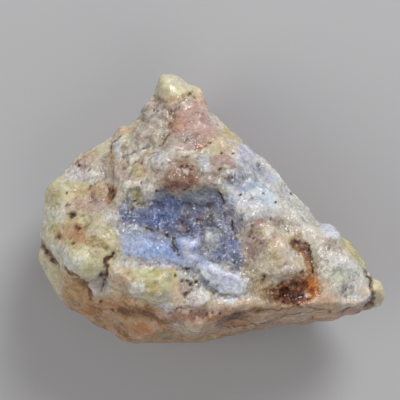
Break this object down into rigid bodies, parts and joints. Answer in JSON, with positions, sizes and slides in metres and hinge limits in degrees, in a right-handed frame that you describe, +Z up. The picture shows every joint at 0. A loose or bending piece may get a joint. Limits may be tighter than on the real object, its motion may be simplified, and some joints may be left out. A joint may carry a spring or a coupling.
{
  "type": "hackmanite rough",
  "caption": "Fist-sized lump of rough stone with a dark blue pocket, pale blue shelf, pink and cream matrix and iron stains, lying on its back.",
  "frame": {"origin": "middle of the bounding box in X and Y, on the flat fracture that the stone rests on", "axes": "+X along the longest side towards the thin tip, +Y towards the pale knob at the apex, +Z up through the thickness, the broad blue face looking up"},
  "size_m": [0.096, 0.0754, 0.0479],
  "materials": {
    "pale_hackmanite": "broken stone with a waxy to glassy sheen"
  },
  "bodies": {
    "root": {"hackmanite_rough": "pale_hackmanite"}
  },
  "joints": []
}
